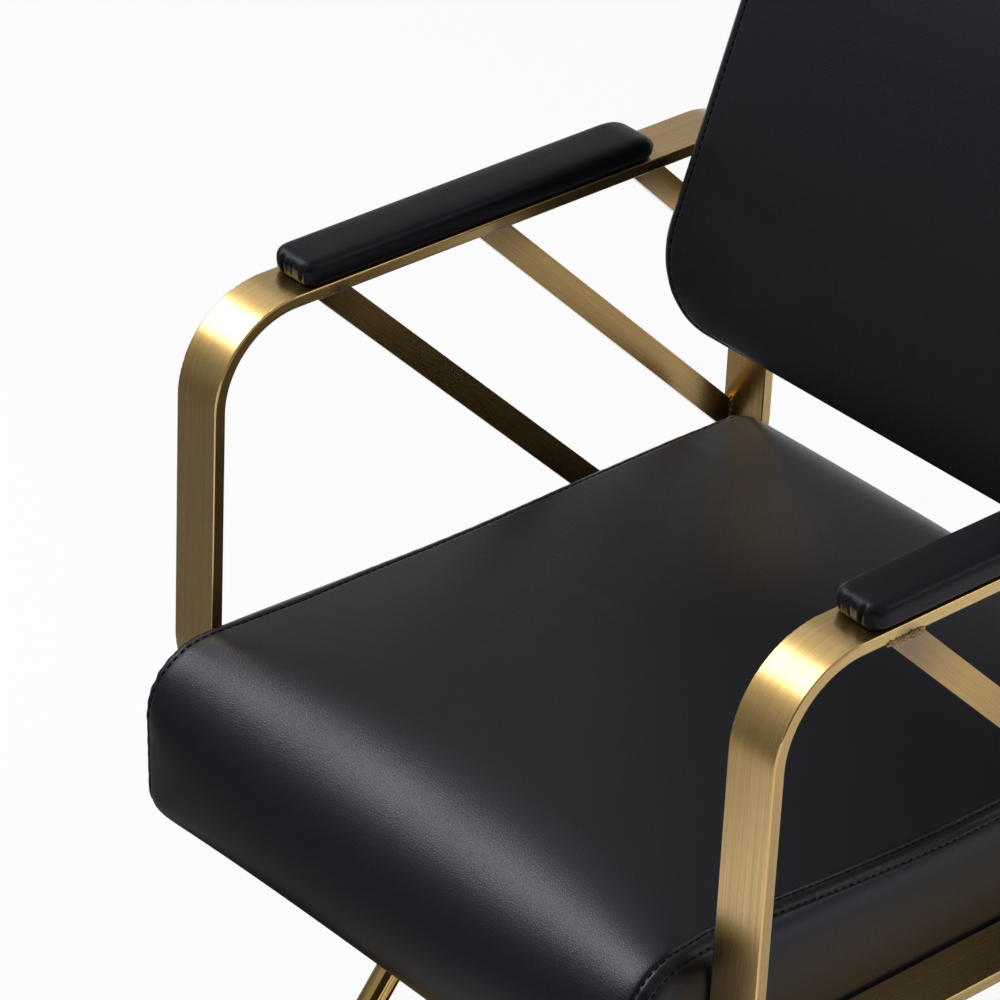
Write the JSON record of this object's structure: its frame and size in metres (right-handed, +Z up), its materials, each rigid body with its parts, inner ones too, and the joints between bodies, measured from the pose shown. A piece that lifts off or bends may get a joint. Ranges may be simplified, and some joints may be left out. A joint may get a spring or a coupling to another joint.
{
  "type": "barber chair",
  "caption": "Salon chair: padded seat and back between closed flat-bar arm loops with slanted braces, on a pump-lift swivel column with round base, pump lever and bar footrest.",
  "frame": {"origin": "on the floor, on the swivel axis of the column", "axes": "+Z up, the sitter faces -Y, +X to the sitter's left"},
  "size_m": [0.5799, 0.7228, 0.9466],
  "materials": {
    "leather": "semi-matt fine pebble grain",
    "brushed_gold": "brushed along the bar, gold tone",
    "polished_gold": "mirror polished, gold tone",
    "plywood": "raw birch",
    "black_rubber": "matt",
    "zinc_fastener": "zinc plated",
    "nylon": "matt",
    "chrome_rod": "ground and plated",
    "black_steel": "satin black powder coat"
  },
  "bodies": {
    "base": {"base_shell": "polished_gold", "base_ring": "black_rubber", "base_bolts": "zinc_fastener", "pump_block": "black_steel", "pump_cylinder": "black_steel", "gland_bush": "nylon", "column_sleeve": "polished_gold", "column_ring": "polished_gold", "lever_pin": "zinc_fastener"},
    "piston": {"piston": "chrome_rod", "thrust_washer": "nylon"},
    "seat_unit": {"arm_frame_front_left": "brushed_gold", "arm_frame_front_right": "brushed_gold", "arm_frame_rear_left": "brushed_gold", "arm_frame_rear_right": "brushed_gold", "arm_insert_left": "plywood", "arm_insert_right": "plywood", "arm_pad_left": "leather", "arm_pad_right": "leather", "arm_screws": "zinc_fastener", "back_arm_left": "brushed_gold", "back_arm_right": "brushed_gold", "back_board": "leather", "back_cushion": "leather", "back_rail": "brushed_gold", "back_screws": "zinc_fastener", "back_strap_left": "black_steel", "back_strap_right": "black_steel", "brace_front_left": "brushed_gold", "brace_front_right": "brushed_gold", "brace_middle_left": "brushed_gold", "brace_middle_right": "brushed_gold", "brace_rear_left": "brushed_gold", "brace_rear_right": "brushed_gold", "foot_bar": "polished_gold", "foot_cap_left": "black_rubber", "foot_cap_right": "black_rubber", "footrest_stem_left": "polished_gold", "footrest_stem_right": "polished_gold", "lug_front_left": "black_steel", "lug_front_right": "black_steel", "lug_rear_left": "black_steel", "lug_rear_right": "black_steel", "mounting_plate": "black_steel", "plate_bolts": "zinc_fastener", "rail_front": "black_steel", "rail_rear": "black_steel", "saddle_left": "black_steel", "saddle_right": "black_steel", "saddle_screws": "zinc_fastener", "seat_board": "plywood", "seat_cushion": "leather", "seat_screws": "zinc_fastener", "swivel_hub": "black_steel"},
    "lever": {"pump_lever": "polished_gold", "pedal_pad": "black_rubber"}
  },
  "joints": [
    {"name": "lift", "type": "slide", "parent": "base", "child": "piston", "axis": [0, 0, 1], "range_m": [0, 0.15]},
    {"name": "swivel", "type": "hinge", "parent": "piston", "child": "seat_unit", "pos_m": [0, 0, 0.29], "axis": [0, 0, 1], "continuous": true},
    {"name": "pump", "type": "hinge", "parent": "base", "child": "lever", "pos_m": [0, 0.08, 0.076], "axis": [-1, 0, 0], "range_deg": [0, 20], "stiffness_Nm_per_rad": 6, "springref_deg": -28.65}
  ]
}
